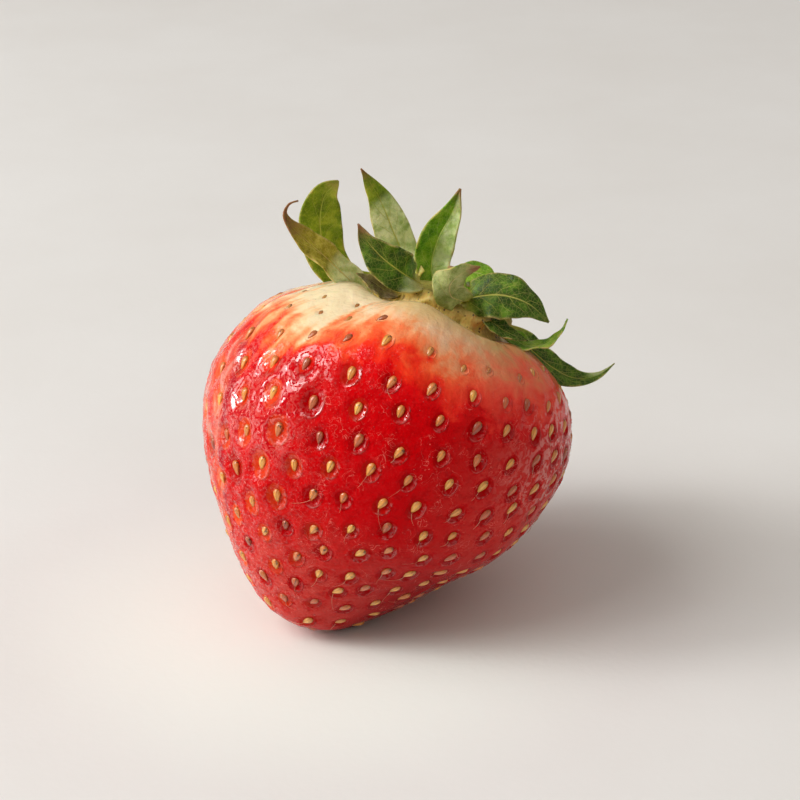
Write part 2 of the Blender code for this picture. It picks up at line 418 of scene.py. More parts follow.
def castSkin(tree):
    # a finely divided cube blown up until it lies on the rounded form
    turn = fruitPlace().to_3x3()
    middle = onAxis(skin["middle"])
    shape = bmesh.new()
    bmesh.ops.create_cube(shape, size=2.0)
    bmesh.ops.subdivide_edges(shape, edges=shape.edges, cuts=skin["cells"] - 1, use_grid_fill=True)
    for vertex in shape.verts:
        way = Vector([math.tan(part * math.pi / 4) for part in vertex.co]).normalized()
        vertex.co = tree.ray_cast(middle, turn @ way)[0]
    return shape


def skinFields(points, achenes):
    # for each point of the skin: how far it moves out, how far it lies from the nearest pit in half widths of
    # the pit, that pit's own shade, and how much the point is on the pit's lee side
    move = skinLift(points)
    ring = np.full(len(points), pit["marks"])
    sunk, warm, lee = np.zeros((3, len(points)))
    for seed in achenes:
        away = (points - np.array(seed["spot"])) / mm
        near = np.nonzero((away ** 2).sum(1) < pit["marks"] ** 2)[0]
        down = np.array(seed["down"])
        side = np.cross(np.array(seed["out"]), down)
        along = (away[near] @ down - pit["aside"]) / (pit["long"] * seed["pit"])
        across = (away[near] @ side - pit["aside"]) / (pit["wide"] * seed["pit"])
        reach = np.sqrt(along ** 2 + across ** 2)
        leeward = (pit["lee"][0] * across + pit["lee"][1] * along) / (reach + 0.01)
        nearer = reach < ring[near]
        ring[near] = np.minimum(ring[near], reach)
        sunk[near] = np.maximum(sunk[near], seed["depth"] * (1 - ramp(reach, pit["floor"], pit["wall"])))
        warm[near] = np.where(nearer, seed["shade"], warm[near])
        lee[near] = np.where(nearer, leeward, lee[near])
    rim = pit["rim"] * np.exp(-((ring - pit["rimAt"]) / pit["rimWidth"]) ** 2) * (1 + lee)
    swollen = 1 + skin["swollen"]["more"] * region(inFruit(points), skin["swollen"])
    move += skin["puff"] * swollen * ramp(ring, *pit["puff"]) + rim - sunk
    return move, ring, warm, lee


# the skin's colours, the lists from cream to full red
skinTones = dict(
    ripe=[(0.0, (238, 218, 176)), (0.12, (242, 206, 158)), (0.3, (244, 158, 104)), (0.46, (246, 106, 56)),
          (0.62, (238, 52, 26)), (0.8, (218, 8, 12)), (1.0, (202, 0, 7))],
    dull=[(0.0, (204, 166, 106)), (0.16, (218, 136, 90)), (0.34, (236, 112, 82)), (0.55, (238, 76, 60)),
          (0.8, (214, 24, 26)), (1.0, (194, 4, 12))],
    blush=(236, 172, 144), neck=(200, 178, 100), haze=(212, 70, 60), leftHaze=(216, 68, 62),
    halo=(178, 0, 4), warmHalo=(244, 80, 34), shaded=(130, 4, 10), fleck=(150, 0, 6),
    strip=[(0.3, (222, 48, 52)), (0.42, (238, 104, 76)), (0.54, (246, 140, 96)), (0.64, (252, 220, 190))],
    creaseShade=(140, 6, 34), furrowShade=(166, 4, 30), crestHighlight=(250, 140, 128), threadAndGlint=(250, 150, 135),
    grain=(255, 190, 175), sheenWeb=(232, 150, 138))


def skinMaterial(tones):
    g = Graph(
        "strawberrySkin", Subsurface_Weight=0.15, Subsurface_Radius=(1.0, 0.2, 0.1),
        Subsurface_Scale=1.2 * mm, IOR=1.12, Coat_IOR=1.8, Coat_Roughness=0.07)
    place = g.fruitPlace()
    x, y, height, reach = g.aroundAxis(place)

    def lobe(direction, spread):
        turn = math.radians(direction)
        facing = (x * math.cos(turn) + y * math.sin(turn)) / reach - 1
        return (facing / math.radians(spread) ** 2).exponent()

    ring = g.attribute("ring")
    warm = g.attribute("warm")
    lee = g.attribute("lee")
    left = lobe(-172, 28)
    right = lobe(-38, 34)
    low = height.between(15, 5.5)

    # streaks run along the fruit: noise on the way round, hardly changing with height
    streaks = g.noise(g.join(x / reach * 11, y / reach * 11, height * 0.2), 1.0, 1.5, 0.5)
    glintDashes = g.noise(g.join(x / reach * 17, y / reach * 17, height * 0.4), 1.0, 2.0, 0.5)
    blotches = g.noise(place, 0.25, 3.0, 0.6)
    patches = g.noise(place, 0.4, 4.0, 0.6, 0.6)
    mottle = g.noise(place, 1.7, 4.0, 0.65)
    edge = ripening["edge"]
    for direction, spread, lift in ripening["lobes"]:
        edge = lobe(direction, spread) * lift + edge
    share = (edge - height) / ripening["depth"] + (streaks - 0.5) * (left * 1.5 + 0.2) + (patches - 0.5) * 0.8

    # the cream tongue on the left stops short at a seam, beyond which the front lobe is ripe
    flank = g.make("Math", {"operation": "ARCTAN2"}, {0: y, 1: x * -1}) * math.degrees(1)
    seam = (flank + (mottle - 0.5) * 6).between(-37, -41) - 0.5
    share = seam * lobe(-141, 11) * height.between(24, 27) * 0.35 + share

    # the side away from the light ripens duller, the front blushes and the neck is greenish
    color = g.mix(right.between(0.15, 0.8), g.ramp(share, *tones["ripe"]), g.ramp(share, *tones["dull"]))
    color = g.mix(lobe(-104, 20) * share.between(0.4, 0.0) * 0.6, color, tones["blush"])
    color = g.mix(height.between(32.2, 34.2) * 0.6, color, tones["neck"])

    # pale haze on the low and turned away skin, speckled with red, which leaves red halos round the pits
    rough = ring + (mottle - 0.5) * 0.8
    # painted shade: the low right underside, turned from the lamps, is darkened and its haze thinned
    shaded = lobe(-28, 38) * height.between(18, 6)
    haze = low.larger(right.between(0.3, 1.0) * 0.6).larger(left * 0.2) * (1 - shaded * 0.8)
    haze = haze * (blotches.between(0.35, 0.55) * 0.4 + 0.6)
    haze = haze * rough.between(1.42, 1.6) * share.between(0.7, 1.2)
    specks = g.noise(place, 3.2, 3.0, 0.6).between(0.5, 0.57) * rough.between(3.0, 1.6)
    color = g.mix(haze * (1 - specks * 0.8), color, g.mix(left, tones["haze"], tones["leftHaze"]))
    halo = g.mix(warm.between(0.3, 0.5) * left, tones["halo"], tones["warmHalo"])
    color = g.mix(rough.between(1.5, 1.3) * share.between(0.5, 1.0), color, halo)
    # painted shade over the low right underside
    color = g.mix(shaded * 0.9, color, tones["shaded"])

    # faint darker flecks all over
    flecks = g.noise(place, 1.1, 4.0, 0.7).between(0.48, 0.34) * share.between(0.5, 0.9)
    color = g.mix(flecks * 0.35, color, tones["fleck"])

    # a pale flat band runs down the left flank: paler skin with painted light and short painted wet glints,
    # behind a dark line of painted shade along a groove
    fromCrease = flank - height.between(20, 28) * 10 + 19 + (mottle - 0.5) * 3
    strip = fromCrease.between(0, 3) * fromCrease.between(34, 22)
    strip = strip * height.between(3, 8) * height.between(31, 28)
    # painted light and painted wet glints on the pale band
    color = g.mix(strip * 0.3, color, g.ramp(glintDashes, *tones["strip"]))
    # painted shade: a dark line beside the pale band, where the skin folds in
    creaseShade = fromCrease.hill(-0.5, 1.8) * height.between(5, 9) * height.between(29, 26)
    color = g.mix(creaseShade * 0.5, color, tones["creaseShade"])

    # wrinkles gather into ripples round each pit where the light grazes: a painted highlight makes their tops
    # pale and painted shade darkens their furrows
    ripple = ((ring * 8 + g.noise(place, 1.15, 2.0, 0.5) * 24).wave() * 0.5 + 0.5) ** 0.5
    wrinkled = lobe(-149, 17).between(0.2, 0.8) * height.between(14, 19) * share.between(0.2, 0.7)
    wrinkled = wrinkled * rough.between(0.85, 1.1)
    torn = wrinkled * (g.noise(place, 0.7, 2.0).between(0.4, 0.55) * 0.6 + 0.4)
    # painted shade in the ripple furrows, then a painted highlight on their tops
    color = g.mix(ripple.between(0.5, 0.15) * torn * 0.5, color, tones["furrowShade"])
    color = g.mix(ripple.between(0.6, 0.9) * torn * 0.15, color, tones["crestHighlight"])

    # fine pale threads, painted sparkles as pale specks on the left, and a thin painted glint as a pale line
    # on the lee side of each pit
    drift = g.noise(place, 0.9, 2.0, 0.5, 1.2)
    threads = (drift - 0.5).size().between(0.012, 0.002) * g.noise(place, 0.5, 1.0).between(0.5, 0.6)
    # painted glint along each pit's lee rim, facing the light
    line = ring.hill(pit["rimAt"], 0.06) * (lee + right).between(0.3, 0.8) * mottle.between(0.42, 0.52)
    fine = g.noise(place, 3.4, 2.0, 0.5)
    # painted sparkles: pale specks on the lit left side
    paintedSparkles = g.noise(place, 5.0, 3.0, 0.7).between(0.6, 0.68) * left * rough.between(1.1, 1.3)
    color = g.mix(threads.larger(line * 0.4) * 0.4 * share.between(0.3, 0.9), color, tones["threadAndGlint"])
    color = g.mix(paintedSparkles * 0.6 * share.between(0.3, 0.9), color, tones["grain"])

    # pale wet lines between the pits on the far right, painted as a sheen; the same lines also carry the wet
    # film
    sheenWeb = ring.between(1.3, 1.7) * lobe(-27, 15) * g.noise(place, 1.3, 2.0, 0.6, 0.8).between(0.5, 0.57)
    sheenWeb = sheenWeb * height.between(17, 22) * share.between(0.3, 0.8)
    # painted sheen along the pale lines
    color = g.mix(sheenWeb * 0.55, color, tones["sheenWeb"])

    # relief: soft dents, the lips of the pits, ripples, grain and drops
    normal = g.bump(g.noise(place, 1.0, 3.0, 0.6), 0.16)
    normal = g.bump(ring.hill(1.22, 0.13) * lee.between(-0.2, 0.8) * mottle.between(0.3, 0.5), 0.07, normal)
    normal = g.bump(ripple * wrinkled, 0.025, normal)
    normal = g.bump(fine * (left + 0.5) * share.between(0.0, 0.6), 0.04, normal)
    drops = g.cells(place, 1.8).between(0.17, 0.06) * mottle.between(0.46, 0.54)
    normal = g.bump(drops, 0.04, normal)
    rimmed = ring.between(1.45, 1.3) * ring.between(0.7, 1.0) * lee.between(0.0, 0.5)
    roughness = (0.13 + haze * 0.1) * (1 - wrinkled.larger(rimmed) * 0.5)

    # a wet film lies on the tops of the ripples, on the pits' lee rims, in patches on the left, in drops and
    # along the web
    film = wrinkled * ripple.between(0.5, 0.75) * mottle.between(0.3, 0.45)
    wetRims = rimmed * fine.between(0.44, 0.52) * (1 - right.larger(low) * 0.7)
    film = film.larger(wetRims * (1 - wrinkled * 0.8))
    film = film.larger(left * fine.between(0.53, 0.57) * (1 - wrinkled * 0.6))
    film = film.larger(drops).larger(sheenWeb * 0.7) * share.between(0.1, 0.5)
    return g.finish(Base_Color=color, Roughness=roughness, Coat_Weight=film, Normal=normal)


def makeSkin(tree, achenes):
    piece = addPiece("skin", castSkin(tree), [skinMaterial(skinTones)], "flesh_skin", "flesh")
    mesh = piece.data
    points = np.zeros(len(mesh.vertices) * 3)
    mesh.vertices.foreach_get("co", points)
    outward = np.zeros(len(mesh.vertices) * 3)
    mesh.vertex_normals.foreach_get("vector", outward)
    points, outward = points.reshape(-1, 3), outward.reshape(-1, 3)
    move, ring, warm, lee = skinFields(points, achenes)
    points = points + outward * move[:, None] * mm
    points[:, 2] = np.maximum(points[:, 2], floorGap)
    mesh.vertices.foreach_set("co", points.ravel())
    for name, values in (("ring", ring), ("warm", warm), ("lee", lee)):
        mesh.attributes.new(name, "FLOAT", "POINT").data.foreach_set("value", values)
    mesh.update()
    return piece


def acheneMaterial():
    g = Graph(
        "achenes", Coat_Weight=1.0, Coat_Roughness=0.1, Subsurface_Weight=0.12,
        Subsurface_Radius=(1.0, 0.6, 0.2), Subsurface_Scale=0.4 * mm)
    shade = g.attribute("shade")
    young = g.attribute("young")
    along = g.attribute("along")
    across = g.attribute("across")
    grain = g.noise(g.objectPlace(), 3.0, 3.0, 0.6)
    body = g.ramp(
        shade, (0.0, (158, 52, 24)), (0.22, (214, 108, 42)), (0.45, (236, 158, 54)),
        (0.7, (244, 182, 76)), (0.85, (226, 142, 60)), (1.0, (206, 92, 46)))
    body = g.mix(young * 0.6, body, (150, 112, 36))
    top = along.between(-0.1, -0.9)
    body = g.mix(top * 0.5, body, (196, 100, 38))
    ribs = (across * 8 + along * 1.5).wave().between(0.3, 0.95)
    body = g.mix(ribs * 0.35, body, (160, 92, 34))
    blot = grain.between(0.54, 0.66) * along.between(0.1, -0.5) * across.between(-0.5, 0.2)
    body = g.mix(blot * 0.85, body, (58, 34, 16))
    rim = across.size().between(0.75, 1.0)
    body = g.mix(rim * 0.6, body, (170, 66, 32))
    return g.finish(Base_Color=body, Roughness=0.32 + grain * 0.2, Normal=g.bump(grain * 0.5 - ribs, 0.05))


def makeAchenes(achenes):
    shape = bmesh.new()
    layers = {name: shape.verts.layers.float.new(name) for name in ("shade", "young", "along", "across")}
    bury, clear = achene["sunk"]
    for seed in achenes:
        ball = bmesh.ops.create_uvsphere(
            shape, u_segments=achene["around"], v_segments=achene["along"], radius=1.0)
        side = seed["out"].cross(seed["down"])
        centre = seed["spot"] - seed["out"] * (seed["depth"] * bury + clear) * mm
        for vertex in ball["verts"]:
            x, y, z = vertex.co
            slim = 1 - achene["slim"][0] * z - achene["slim"][1] * z * z  # blunt above, pointed below
            vertex[layers["shade"]] = seed["shade"]
            vertex[layers["young"]] = seed["young"]
            vertex[layers["along"]] = z
            vertex[layers["across"]] = x
            spot = seed["down"] * (z + achene["point"] * max(z, 0) ** 3) * achene["length"] / 2
            spot = spot + side * x * slim * achene["width"] / 2
            spot = spot + seed["out"] * (y * slim * achene["height"] / 2 - achene["dip"] * z)
            vertex.co = centre + spot * seed["size"] * mm
            vertex.co.z = max(vertex.co.z, floorGap)
    bmesh.ops.recalc_face_normals(shape, faces=shape.faces)
    return addPiece("achenes", shape, [acheneMaterial()], "achene")


# dried styles: fine hairs, in mm, that start at the pointed end of most achenes and settle on the skin
styleHair = dict(
    share=0.65, lowest=1.5, start=0.42, length=(0.5, 1.9), lean=0.3, curl=0.5, rise=0.16, sink=0.2, settle=4,
    radius=0.024, taper=0.6, steps=5)


def styleMaterial():
    g = Graph("driedStyles", Roughness=0.4, Alpha=0.75)
    color = g.ramp(g.noise(g.objectPlace(), 0.8), (0.35, (206, 96, 70)), (0.65, (238, 186, 150)))
    return g.finish(Base_Color=color)


def addTubes(name, routes, radius, material, slotName):
    # closed tapering tubes, each along one route of places and shares of the radius
    lines = bpy.data.curves.new(name, "CURVE")
    lines.dimensions = "3D"
    lines.bevel_depth = radius * mm
    lines.bevel_resolution = 0
    lines.use_fill_caps = True
    for spots, shares in routes:
        line = lines.splines.new("POLY")
        line.points.add(len(spots) - 1)
        for point, spot, share in zip(line.points, spots, shares):
            point.co = (*spot, 1)
            point.radius = share
    drawn = bpy.data.objects.new(name + "Lines", lines)
    shape = bmesh.new()
    shape.from_mesh(bpy.data.meshes.new_from_object(drawn))
    bpy.data.objects.remove(drawn, do_unlink=True)
    return addPiece(name, shape, [material], slotName)


def makeStyles(tree, achenes):
    random.seed(5)
    routes = []
    for seed in achenes:
        if random.random() > styleHair["share"] or seed["spot"].z < styleHair["lowest"] * mm:
            continue
        side = seed["out"].cross(seed["down"])
        length = random.uniform(*styleHair["length"])
        lean = random.gauss(0, styleHair["lean"])
        curl = random.gauss(0, styleHair["curl"])
        spots = []
        for step in range(styleHair["steps"] + 1):
            share = step / styleHair["steps"]
            run = achene["length"] * styleHair["start"] + length * share
            flat = seed["spot"] + (seed["down"] * run + side * length * share * (lean + curl * share)) * mm
            spot, normal, face, distance = tree.find_nearest(flat)
            clear = styleHair["rise"] - styleHair["sink"] * math.exp(-styleHair["settle"] * share)
            spots.append(spot + normal * clear * mm)
        shares = [1 - styleHair["taper"] * step / styleHair["steps"] for step in range(len(spots))]
        routes.append((spots, shares))
    return addTubes("driedStyles", routes, styleHair["radius"], styleMaterial(), "achene")


# calyx: turned outline of radius and height up the axis, mm, then folded towards each leaf
calyx = dict(
    outline=[(0.0, 32.35), (4.0, 32.35), (6.75, 32.3), (6.9, 32.75), (6.35, 33.3), (6.2, 33.9), (6.5, 34.6),
             (5.9, 35.1), (4.6, 35.0), (3.0, 35.3), (1.6, 35.8), (0.0, 36.0)],
    rows=40, around=120, folds=13, fold=0.14, sway=1.3, lumps=0.8,
    rim=6, upper=(32.6, 34.4), still=0.3)  # the folds are full at the rim and the upper part, and weak below


def calyxMaterial():
    g = Graph(
        "calyxNeck", Subsurface_Weight=0.15, Subsurface_Scale=1.0 * mm, Coat_Weight=0.15,
        Coat_Roughness=0.2)
    place = g.fruitPlace()
    x, y, height, reach = g.aroundAxis(place)
    stretch = g.join(x / reach * 11, y / reach * 11, height * 0.7)
    fibres = g.noise(stretch, 1.0, 4.0, 0.65)
    blotches = g.noise(place, 0.45, 3.0)
    color = g.ramp(
        (fibres + blotches) * 0.5, (0.38, (108, 82, 30)), (0.46, (178, 150, 64)),
        (0.55, (216, 186, 94)), (0.68, (206, 136, 62)))
    color = g.mix(height.between(33.4, 32.4) * 0.4, color, (222, 190, 110))
    color = g.mix(height.between(34.2, 35.4) * 0.6, color, (104, 116, 36))
    specks = g.cells(place, 2.1).between(0.3, 0.16) * g.noise(place, 1.2).between(0.44, 0.54)
    color = g.mix(specks * 0.85, color, (62, 34, 14))
    normal = g.bump(fibres + blotches, 0.25)
    return g.finish(Base_Color=color, Roughness=0.45 + blotches * 0.2, Normal=normal)


def makeCalyx():
    shape = bmesh.new()
    shares = [step / calyx["rows"] for step in range(calyx["rows"] + 1)]
    rows = curveThrough(calyx["outline"], shares)
    points = [shape.verts.new((max(radius, 0.0), 0, height)) for radius, height in rows]
    edges = [shape.edges.new(pair) for pair in zip(points, points[1:])]
    bmesh.ops.spin(
        shape, geom=points + edges, axis=(0, 0, 1), cent=(0, 0, 0), angle=math.tau, steps=calyx["around"],
        use_merge=True)
    bmesh.ops.remove_doubles(shape, verts=shape.verts, dist=1e-3)
    bmesh.ops.recalc_face_normals(shape, faces=shape.faces)
    for vertex in shape.verts:
        x, y, height = vertex.co
        reach = math.hypot(x, y)
        azimuth = math.atan2(y, x)
        moving = calyx["still"] + (1 - calyx["still"]) * float(ramp(height, *calyx["upper"]))
        share = min(reach / calyx["rim"], 1) ** 2 * moving
        fold = calyx["fold"] * math.sin(calyx["folds"] * azimuth + calyx["sway"] * math.sin(2 * azimuth))
        lump = calyx["lumps"] * noise.noise(Vector((x, y, height * 1.4)) * 0.7)
        vertex.co.x += (fold + lump) * share * math.cos(azimuth)
        vertex.co.y += (fold + lump) * share * math.sin(azimuth)
        vertex.co.z += 0.5 * lump * share
    standUp(shape)
    return addPiece("calyx", shape, [calyxMaterial()], "calyx", "calyx_disc")


# stem: a short ribbed stump, in mm, cut across at the top
stem = dict(
    radius=1.1, foot=35.2, height=2.5, around=36, rows=8, ribs=9, rib=0.07, taper=0.86, edge=0.06)


def stemMaterial():
    g = Graph("cutStem", Roughness=0.65)
    x, y, height = g.split(g.fruitPlace(), "XYZ")
    grain = g.noise(g.join(x * 3, y * 3, height * 0.6), 1.2, 4.0, 0.65)
    color = g.ramp(grain, (0.35, (92, 104, 40)), (0.6, (150, 148, 70)), (0.75, (140, 96, 52)))
    color = g.mix(height.between(37.0, 37.6), color, (150, 116, 70))
    return g.finish(Base_Color=color, Normal=g.bump(grain, 0.15))


def makeStem():
    shape = bmesh.new()
    bmesh.ops.create_cone(
        shape, cap_ends=True, segments=stem["around"], radius1=1.0, radius2=stem["taper"], depth=1.0)
    upright = [edge for edge in shape.edges if abs(edge.verts[0].co.z - edge.verts[1].co.z) > 0.5]
    bmesh.ops.subdivide_edges(shape, edges=upright, cuts=stem["rows"])
    rims = [edge for edge in shape.edges if all(abs(abs(vertex.co.z) - 0.5) < 1e-4 for vertex in edge.verts)]
    bmesh.ops.bevel(
        shape, geom=rims, offset=stem["edge"], segments=2, profile=0.5, affect="EDGES", material=-1)
    for vertex in shape.verts:
        azimuth = math.atan2(vertex.co.y, vertex.co.x)
        swell = stem["radius"] + stem["rib"] * math.sin(stem["ribs"] * azimuth)
        vertex.co.x *= swell
        vertex.co.y *= swell
        vertex.co.z = stem["foot"] + (vertex.co.z + 0.5) * stem["height"]
    standUp(shape)
    return addPiece("stem", shape, [stemMaterial()], "stem", "stem_stub")


# leaves: each path runs from the base, in mm right, back and up from the leaves' middle. "looks" is where the
# upper side faces at the base and at the tip, "cup" lifts the edges, "wave" ripples them, "dry" browns the
# tip and "faded" is the paler stretch, from fading on most leaves and a painted sheen by the base of
# front_left:
# from and to as shares of the length, and the side it keeps to, if any
leafCommon = dict(
    middle=33.4, root=(1.2, 0.22), thickness=0.15, along=56, across=20, baseWidth=0.42, tipWidth=0.04,
    tipTaper=1.15, rib=0.09, ribWidth=0.16, wave=0.12, waves=2.5, cup=0.1, dry=0.25,
    faded=(2.0, 2.0, 0), sideFade=0.65, upper="dark", under="pale")
leaves = {
    "left_curled": dict(
        path=[(-5.6, 0.4, 1.5), (-7.9, 0.0, 2.4), (-9.8, -0.1, 4.2), (-11.4, -0.5, 6.0), (-13.0, -1.0, 7.7),
              (-14.3, -1.3, 9.2), (-14.8, -1.4, 10.5), (-14.4, -1.4, 11.3), (-13.5, -1.4, 11.65)],
        width=2.7, widest=0.5, baseWidth=0.3, tipTaper=1.8, looks=[(0.2, -0.8, 0.6), (0.9, -0.7, 0.0)],
        # its golden upper side carries painted light shining through the leaf
        cup=0.35, wave=0.22, upper="golden", dry=0.7, faded=(-1.0, 0.5, 0)),
    "left_upright": dict(
        path=[(-6.0, 2.8, 1.6), (-9.0, 3.2, 1.8), (-10.9, 3.5, 3.7), (-11.6, 3.6, 6.0), (-11.7, 3.6, 8.4),
              (-11.1, 3.4, 10.7), (-9.9, 3.2, 12.0)],
        width=4.2, widest=0.7, baseWidth=0.25, tipTaper=0.85, looks=[(0.3, -0.8, 0.4), (0.2, -0.9, 0.2)],
        cup=0.15, wave=0.06, upper="olive"),
    "back_tall": dict(
        path=[(-2.9, 5.2, 2.1), (-3.7, 6.4, 3.2), (-4.7, 6.8, 5.5), (-6.0, 6.8, 8.8), (-7.8, 6.4, 12.1)],
        width=3.6, widest=0.4, looks=[(0.2, -0.9, 0.2), (0.2, -0.9, 0.3)], cup=-0.2, upper="olive",
        dry=0.42, faded=(-1.0, 0.75, 0)),
    # the pale stretch by its base on one side is a painted sheen
    "front_left": dict(
        path=[(-2.8, -3.5, 4.6), (-4.2, -4.4, 5.9), (-5.8, -5.0, 7.5), (-7.1, -5.2, 9.2),
              (-7.9, -5.2, 10.8)],
        width=3.8, widest=0.4, looks=[(-0.3, -0.6, 0.7), (-0.4, -0.8, 0.4)], cup=0.2, faded=(-1.0, 0.3, 1),
        dry=0.45),
    "upright_folded": dict(
        path=[(-0.6, 4.6, 0.2), (-1.0, 5.4, 2.6), (-0.4, 5.4, 5.2), (1.0, 5.0, 8.3), (1.7, 4.6, 10.7)],
        width=3.6, widest=0.45, looks=[(0.2, -0.9, 0.3), (-0.2, -0.9, 0.3)], cup=0.45, upper="bright",
        dry=0.42, faded=(-1.0, 2.0, -1)),
    "front_curled": dict(
        path=[(1.7, -5.6, 3.4), (0.6, -6.6, 4.3), (0.5, -7.0, 5.5), (1.6, -6.8, 6.6), (3.3, -6.3, 7.0)],
        width=2.9, widest=0.45, baseWidth=0.4, looks=[(-0.1, 0.95, 0.2), (-0.4, 0.9, -0.3)], cup=0.35,
        wave=0.3, upper="bright", under="sage", dry=0.5),
    "back_right": dict(
        path=[(1.9, 5.2, 0.1), (2.2, 5.2, 1.5), (3.2, 4.8, 2.0), (4.8, 4.2, 1.5), (6.0, 3.6, 0.7)],
        width=2.8, widest=0.45, looks=[(-0.3, -0.6, 0.6), (0.2, -0.3, 0.9)], upper="bright"),
    "right_broad": dict(
        path=[(2.4, -4.6, 3.2), (3.6, -5.2, 3.7), (5.5, -5.6, 3.9), (7.9, -5.6, 3.0), (9.8, -5.4, 1.1)],
        width=4.4, widest=0.42, looks=[(0.0, -0.8, 0.6), (0.3, -0.8, 0.5)], cup=-0.15),
    "right_small": dict(
        path=[(4.5, -5.1, 1.0), (5.7, -5.6, 0.3), (6.9, -5.8, -0.2), (7.9, -5.8, -0.6)],
        width=1.8, widest=0.4, looks=[(0.2, -0.5, 0.8), (0.3, -0.6, 0.7)]),
    "right_arched": dict(
        path=[(5.8, -3.7, -0.4), (7.7, -4.8, -1.5), (9.8, -5.0, -1.2), (11.0, -5.0, -0.1),
              (11.6, -4.8, 1.2)],
        width=2.3, widest=0.4, looks=[(0.2, 0.0, 0.9), (-0.7, 0.0, 0.7)], upper="bright", under="bright"),
    "right_long": dict(
        path=[(6.9, -1.5, -1.8), (8.6, -2.6, -3.1), (10.6, -3.0, -4.7), (12.7, -2.6, -5.9),
              (14.9, -2.2, -5.8), (16.5, -1.8, -4.7)],
        width=2.9, widest=0.42, tipTaper=1.6, looks=[(0.3, -0.5, 0.8), (0.0, -0.6, 0.8)],
        faded=(0.75, 2.0, 1)),
    "left_small": dict(
        path=[(-5.2, -3.5, 3.4), (-6.6, -4.1, 4.6), (-8.1, -4.3, 5.6)],
        width=1.9, widest=0.4, looks=[(-0.3, -0.5, 0.8), (-0.3, -0.6, 0.7)], upper="brown"),
    "back_small": dict(
        path=[(-4.7, 5.2, 0.7), (-5.8, 5.6, 1.9), (-7.2, 5.6, 3.1)],
        width=1.9, widest=0.45, looks=[(0.2, -0.8, 0.5), (0.2, -0.8, 0.4)]),
}

# colours of a leaf's side from dark to pale, its veins and how dull it is
leafTones = {
    "dark": dict(blade=[(38, 58, 4), (60, 90, 12), (100, 134, 34)], vein=(214, 206, 106), gloss=0.28),
    "olive": dict(blade=[(88, 102, 6), (118, 134, 12), (158, 162, 40)], vein=(194, 186, 84), gloss=0.45),
    "bright": dict(blade=[(68, 112, 6), (110, 152, 18), (158, 182, 60)], vein=(210, 216, 130), gloss=0.36),
    # golden: a yellowed leaf tone made lighter, as painted light for the light shining through the curled
    # leaf
    "golden": dict(blade=[(110, 98, 18), (160, 142, 44), (200, 182, 84)], vein=(222, 190, 120), gloss=0.5),
    "pale": dict(blade=[(150, 166, 104), (190, 200, 148), (220, 222, 184)], vein=(234, 218, 170), gloss=0.5),
    "sage": dict(blade=[(112, 124, 56), (150, 158, 92), (188, 190, 130)], vein=(210, 190, 130), gloss=0.5),
    "brown": dict(blade=[(76, 60, 44), (122, 106, 74), (150, 134, 100)], vein=(170, 146, 100), gloss=0.5),
}


def leafMaterial(name, blade, vein, gloss):
    g = Graph(
        "leaf" + name.title(), Subsurface_Weight=0.45, Subsurface_Scale=0.7 * mm,
        Subsurface_Radius=(0.7, 1.0, 0.25), Specular_IOR_Level=0.25)
    along, across = g.leafPlace()
    place = g.objectPlace()
    side = (across - 0.5).size() * 2  # 0 on the midrib, 1 at the edge
    drift = g.noise(place, 0.5, 2.0) - 0.5
    patches = g.noise(place, 0.8, 5.0, 0.7)
    color = g.ramp(patches, *[(0.34 + 0.15 * step, shade) for step, shade in enumerate(blade)])
    # the paler stretch: fading on most leaves, a painted sheen on front_left
    fadeAndSheenTone = g.ramp(g.noise(place, 1.1, 3.0, 0.6), (0.35, (158, 172, 106)), (0.6, (216, 218, 172)))
    color = g.mix(g.attribute("faded"), color, fadeAndSheenTone)
    midrib = side.hill(0.0, 0.04) * (along.between(1.0, 0.5) * 0.6 + 0.4)
    comb = ((along - side * 0.26 + drift * 0.08) * 6.5 + drift * 0.5).fraction()
    sideVeins = (comb - 0.5).size().between(0.05, 0.0) * side.between(1.0, 0.4)
    net = g.cells(place, 2.6, "DISTANCE_TO_EDGE").between(0.1, 0.0)
    veins = midrib.larger(sideVeins * 0.65).larger(net * 0.22)
    color = g.mix(veins * 0.85, color, vein)
    margin = side.between(0.88, 1.0) * patches.between(0.4, 0.6)
    color = g.mix(margin * 0.7, color, (196, 168, 112))
    dry = g.attribute("dry")
    withered = (along + dry * 0.55 + (patches - 0.5) * 0.4).between(1.04, 1.26)
    color = g.mix(withered, color, (138, 88, 62))
    root = along.between(0.22, 0.02)
    color = g.mix(root * 0.8, color, (206, 190, 84))
    fine = g.noise(place, 4.0, 3.0)
    normal = g.bump(1 - veins, 0.1)
    normal = g.bump(fine, 0.05, normal)
    return g.finish(Base_Color=color, Roughness=gloss + fine * 0.2, Normal=normal)


def bladeWidth(leaf, share):
    if share < leaf["widest"]:
        return leaf["baseWidth"] + (1 - leaf["baseWidth"]) * math.sin(math.pi / 2 * share / leaf["widest"])
    past = (share - leaf["widest"]) / (1 - leaf["widest"])
    return leaf["tipWidth"] + (1 - leaf["tipWidth"]) * math.cos(math.pi / 2 * past) ** leaf["tipTaper"]


def leafSpot(leaf, place, ahead, share, across, phase):
    forward = Vector(ahead).normalized()
    looks = Vector(leaf["looks"][0]).lerp(Vector(leaf["looks"][1]), share)
    up = (looks - looks.project(forward)).normalized()
    side = up.cross(forward)
    half = leaf["width"] / 2 * bladeWidth(leaf, share)
    ripple = leaf["wave"] * across * abs(across) * math.sin(math.tau * leaf["waves"] * share + phase)
    ripple += leaf["wave"] * abs(across) ** 3 * math.sin(math.tau * leaf["waves"] * 1.7 * share + 2 * phase)
    rib = -leaf["rib"] * math.exp(-(across * half / leaf["ribWidth"]) ** 2) * (1 - share)
    lift = half * (leaf["cup"] * across * across + ripple) + rib
    return Vector(place) + side * half * across + up * lift


